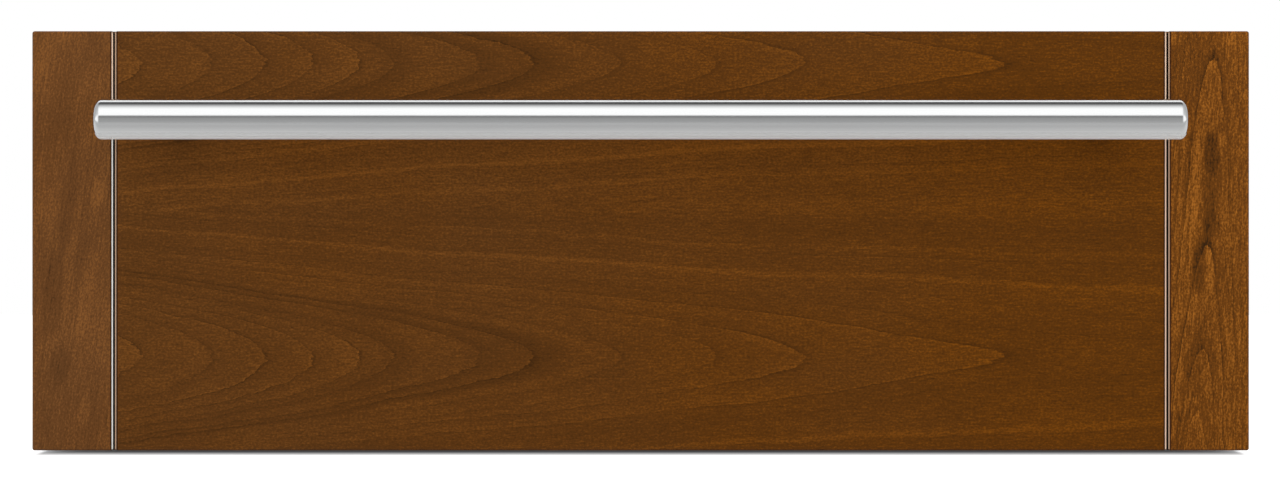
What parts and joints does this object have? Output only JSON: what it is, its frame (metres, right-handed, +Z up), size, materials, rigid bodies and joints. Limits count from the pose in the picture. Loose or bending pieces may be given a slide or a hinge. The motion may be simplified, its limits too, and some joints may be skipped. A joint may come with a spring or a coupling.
{
  "type": "warming drawer",
  "caption": "Heated drawer on ball-bearing runners in an insulated steel chassis, with a cabinet-matched wooden front and a round bar handle.",
  "frame": {"origin": "on the surface that the feet stand on, in the middle of the object's width and of its depth", "axes": "+X to the right along the front, +Y from the front towards the rear panel, +Z up"},
  "size_m": [0.7556, 0.6995, 0.2634],
  "materials": {
    "cherry_centre": "satin lacquered cherry, grain across",
    "cherry_stile": "satin lacquered cherry, grain upright",
    "inlay_metal": "bright drawn channel",
    "polished_steel": "fine satin, drawn lengthwise",
    "fastener_steel": "zinc plated",
    "stainless_sheet": "fine satin",
    "coated_sheet": "spangled zinc coated sheet",
    "runner_steel": "bright zinc",
    "ball_steel": "bright balls in plated strips",
    "rack_wire": "bright plated wire",
    "seal_rubber": "matt",
    "blanket": "mineral wool",
    "element_sheath": "oxidised alloy sheath",
    "strip_plastic": "semi-gloss black",
    "button_plastic": "satin grey",
    "lens_plastic": "tinted amber",
    "board_laminate": "green lacquer with parts",
    "bay_plastic": "moulded nylon",
    "thermostat_body": "moulded phenolic with steel tabs"
  },
  "bodies": {
    "chassis": {"face_frame": "coated_sheet", "base_pan": "coated_sheet", "left_side_panel": "coated_sheet", "right_side_panel": "coated_sheet", "top_cover": "coated_sheet", "rear_panel": "coated_sheet", "chassis_screws": "fastener_steel", "glide_feet": "seal_rubber", "cavity_floor": "stainless_sheet", "cavity_left_wall": "stainless_sheet", "cavity_right_wall": "stainless_sheet", "cavity_roof": "stainless_sheet", "cavity_back": "stainless_sheet", "insulation_blankets": "blanket", "heating_element": "element_sheath", "element_brackets": "stainless_sheet", "temperature_sensor": "stainless_sheet", "limit_thermostat": "thermostat_body", "power_board": "board_laminate", "board_standoffs": "bay_plastic", "terminal_block": "bay_plastic", "supply_grommet": "seal_rubber", "left_outer_rail": "runner_steel", "right_outer_rail": "runner_steel", "outer_rail_screws": "fastener_steel"},
    "drawer": {"left_stile": "cherry_stile", "centre_panel": "cherry_centre", "right_stile": "cherry_stile", "left_inlay": "inlay_metal", "right_inlay": "inlay_metal", "handle_bar": "polished_steel", "handle_caps": "polished_steel", "handle_posts": "polished_steel", "handle_screws": "fastener_steel", "panel_screws": "fastener_steel", "door_shell": "coated_sheet", "door_liner": "stainless_sheet", "door_insulation": "blanket", "door_gasket": "seal_rubber", "control_housing": "strip_plastic", "control_board": "board_laminate", "indicator_lenses": "lens_plastic", "vent_guides": "stainless_sheet", "drawer_box": "stainless_sheet", "drawer_box_rivets": "fastener_steel", "wire_rack": "rack_wire", "left_inner_rail": "runner_steel", "right_inner_rail": "runner_steel"},
    "left_middle_rail": {"left_middle_rail": "runner_steel"},
    "right_middle_rail": {"right_middle_rail": "runner_steel"},
    "left_outer_cage": {"left_outer_cage": "ball_steel"},
    "right_outer_cage": {"right_outer_cage": "ball_steel"},
    "left_inner_cage": {"left_inner_cage": "ball_steel"},
    "right_inner_cage": {"right_inner_cage": "ball_steel"},
    "vent_shutter": {"vent_shutter": "stainless_sheet"},
    "power_button": {"power_button": "button_plastic"},
    "proof_button": {"proof_button": "button_plastic"},
    "low_button": {"low_button": "button_plastic"},
    "medium_button": {"medium_button": "button_plastic"},
    "high_button": {"high_button": "button_plastic"}
  },
  "joints": [
    {"name": "drawer_slide", "type": "slide", "parent": "chassis", "child": "drawer", "axis": [0, -1, 0], "range_m": [0, 0.46]},
    {"name": "left_middle_rail_slide", "type": "slide", "parent": "chassis", "child": "left_middle_rail", "axis": [0, -1, 0], "range_m": [0, 0.23]},
    {"name": "right_middle_rail_slide", "type": "slide", "parent": "chassis", "child": "right_middle_rail", "axis": [0, -1, 0], "range_m": [0, 0.23]},
    {"name": "left_outer_cage_slide", "type": "slide", "parent": "chassis", "child": "left_outer_cage", "axis": [0, -1, 0], "range_m": [0, 0.115]},
    {"name": "right_outer_cage_slide", "type": "slide", "parent": "chassis", "child": "right_outer_cage", "axis": [0, -1, 0], "range_m": [0, 0.115]},
    {"name": "left_inner_cage_slide", "type": "slide", "parent": "chassis", "child": "left_inner_cage", "axis": [0, -1, 0], "range_m": [0, 0.345]},
    {"name": "right_inner_cage_slide", "type": "slide", "parent": "chassis", "child": "right_inner_cage", "axis": [0, -1, 0], "range_m": [0, 0.345]},
    {"name": "vent_slide", "type": "slide", "parent": "drawer", "child": "vent_shutter", "axis": [1, 0, 0], "range_m": [0, 0.012]},
    {"name": "power_button_press", "type": "slide", "parent": "drawer", "child": "power_button", "axis": [0, 0, -1], "range_m": [0, 0.001], "stiffness_N_per_m": 400, "springref_m": -0.0005},
    {"name": "proof_button_press", "type": "slide", "parent": "drawer", "child": "proof_button", "axis": [0, 0, -1], "range_m": [0, 0.001], "stiffness_N_per_m": 400, "springref_m": -0.0005},
    {"name": "low_button_press", "type": "slide", "parent": "drawer", "child": "low_button", "axis": [0, 0, -1], "range_m": [0, 0.001], "stiffness_N_per_m": 400, "springref_m": -0.0005},
    {"name": "medium_button_press", "type": "slide", "parent": "drawer", "child": "medium_button", "axis": [0, 0, -1], "range_m": [0, 0.001], "stiffness_N_per_m": 400, "springref_m": -0.0005},
    {"name": "high_button_press", "type": "slide", "parent": "drawer", "child": "high_button", "axis": [0, 0, -1], "range_m": [0, 0.001], "stiffness_N_per_m": 400, "springref_m": -0.0005}
  ],
  "couplings": [
    {"joint": "left_middle_rail_slide", "follows": "drawer_slide", "ratio": 0.5},
    {"joint": "right_middle_rail_slide", "follows": "drawer_slide", "ratio": 0.5},
    {"joint": "left_outer_cage_slide", "follows": "drawer_slide", "ratio": 0.25},
    {"joint": "right_outer_cage_slide", "follows": "drawer_slide", "ratio": 0.25},
    {"joint": "left_inner_cage_slide", "follows": "drawer_slide", "ratio": 0.75},
    {"joint": "right_inner_cage_slide", "follows": "drawer_slide", "ratio": 0.75}
  ]
}
